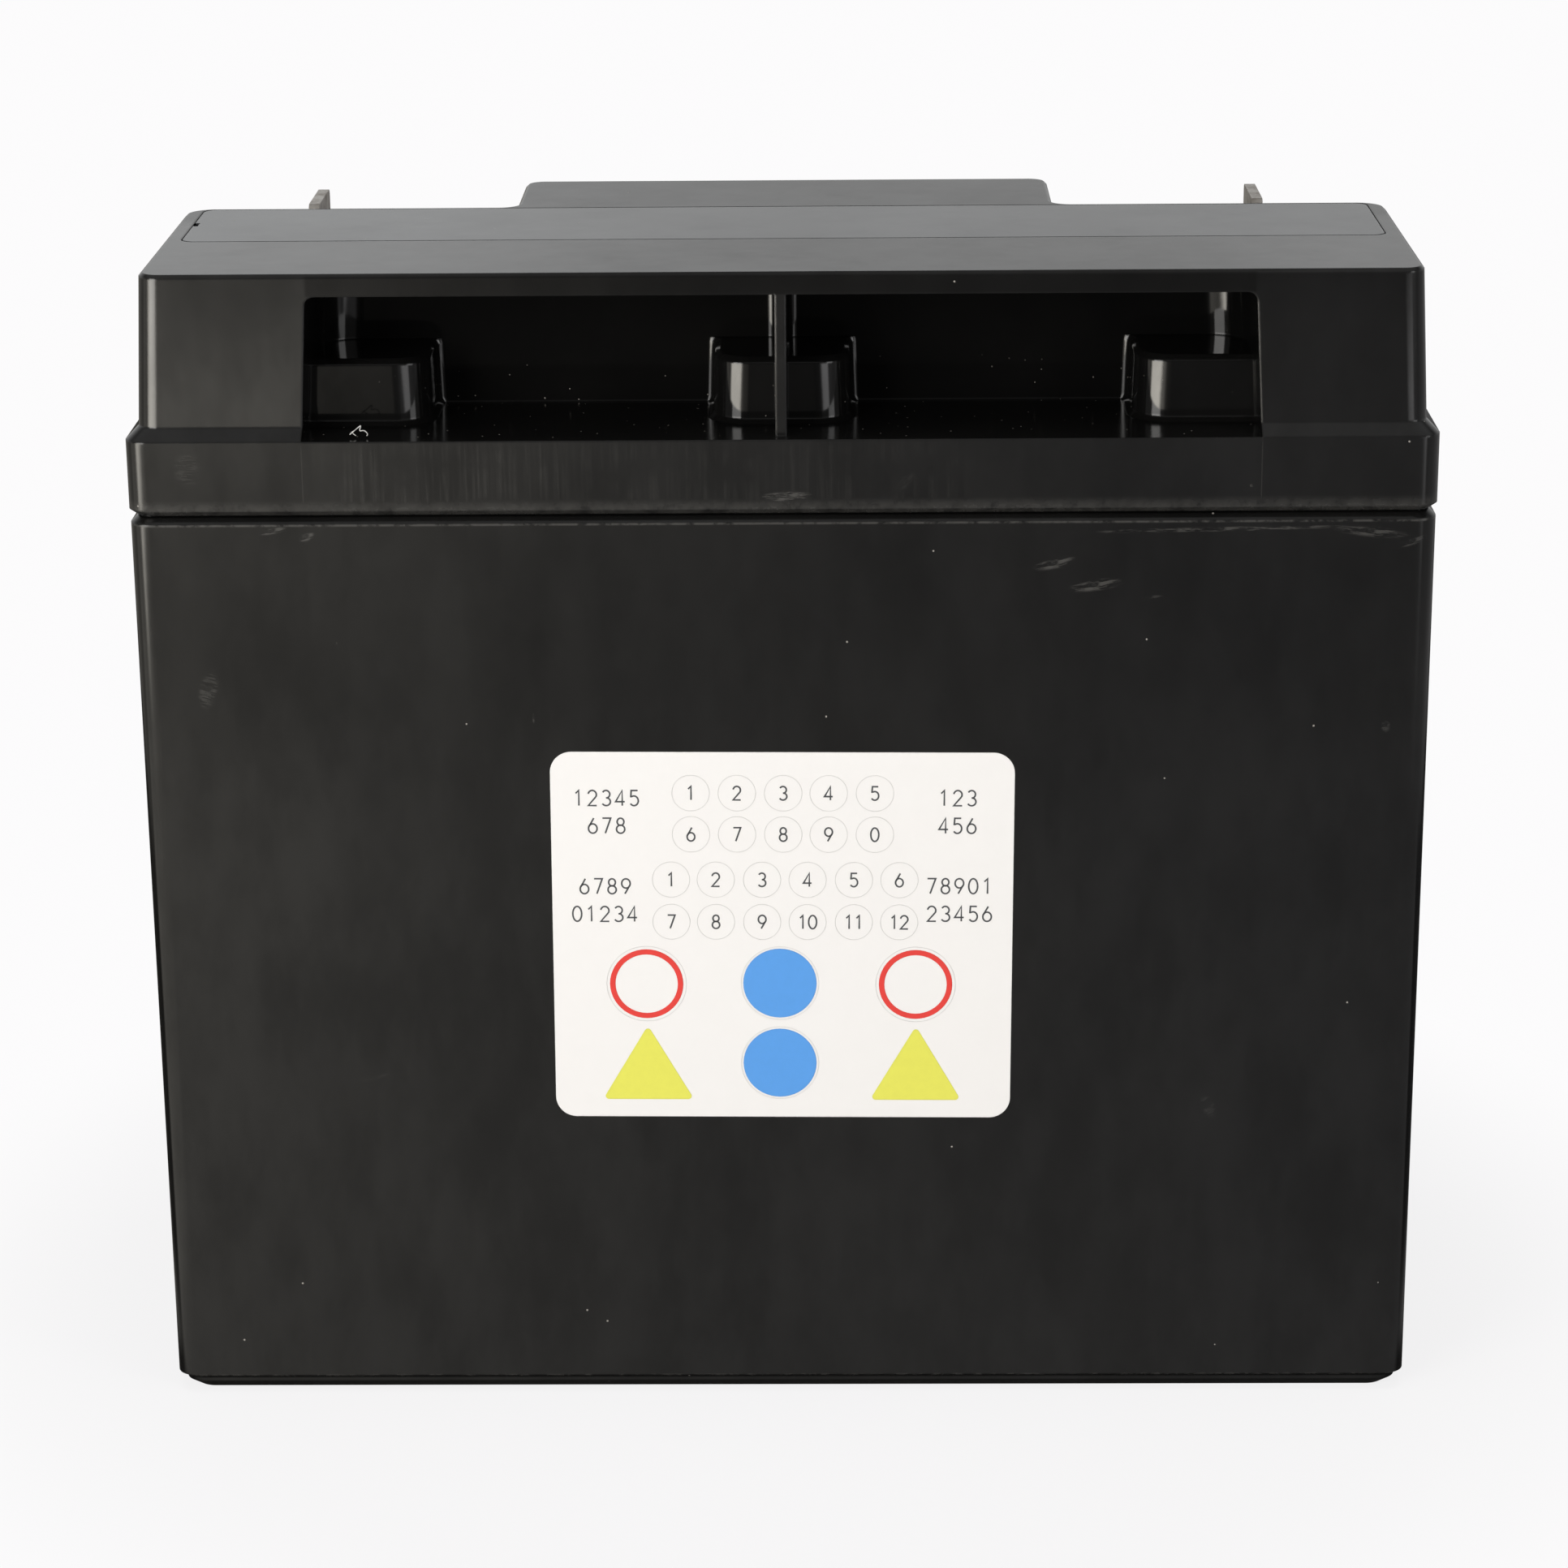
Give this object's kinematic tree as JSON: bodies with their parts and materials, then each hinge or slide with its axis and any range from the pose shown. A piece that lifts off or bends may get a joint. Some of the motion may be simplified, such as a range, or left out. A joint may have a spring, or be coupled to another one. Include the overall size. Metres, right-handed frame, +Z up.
{
  "type": "sealed lead acid battery",
  "caption": "Upright sealed lead acid battery with a moulded cover, a front grip pocket, recessed flat tab terminals at the rear and a white date sticker.",
  "frame": {"origin": "centre of the base, on the surface that the battery stands on", "axes": "+X along the battery's length, +Y from the grip pocket side towards the terminal side, +Z up"},
  "size_m": [0.185, 0.08, 0.17],
  "materials": {
    "case": "satin moulded black",
    "cover": "satin moulded black",
    "cement": "set cement",
    "sticker": "coated white film",
    "positive_plate": "dark brown oxide paste",
    "negative_plate": "grey lead paste",
    "lead": "cast lead",
    "glass_mat": "fibre mat",
    "rubber": "moulded rubber",
    "resin": "cast resin",
    "tab": "tin plated"
  },
  "bodies": {
    "root": {"cell_weld_1": "lead", "cell_weld_2": "lead", "cell_weld_3": "lead", "cell_weld_4": "lead", "cell_weld_5": "lead", "container": "case", "cover": "cover", "cover_seal": "cement", "date_label": "sticker", "negative_group_1": "negative_plate", "negative_group_2": "negative_plate", "negative_group_3": "negative_plate", "negative_group_4": "negative_plate", "negative_group_5": "negative_plate", "negative_group_6": "negative_plate", "positive_group_1": "positive_plate", "positive_group_2": "positive_plate", "positive_group_3": "positive_plate", "positive_group_4": "positive_plate", "positive_group_5": "positive_plate", "positive_group_6": "positive_plate", "post_resin_negative": "resin", "post_resin_positive": "resin", "post_ring_negative": "rubber", "post_ring_positive": "rubber", "separators_1": "glass_mat", "separators_2": "glass_mat", "separators_3": "glass_mat", "separators_4": "glass_mat", "separators_5": "glass_mat", "separators_6": "glass_mat", "terminal_post_negative": "lead", "terminal_post_positive": "lead", "terminal_tab_negative": "tab", "terminal_tab_positive": "tab", "valve_caps": "rubber", "vent_lid": "cover"}
  },
  "joints": []
}
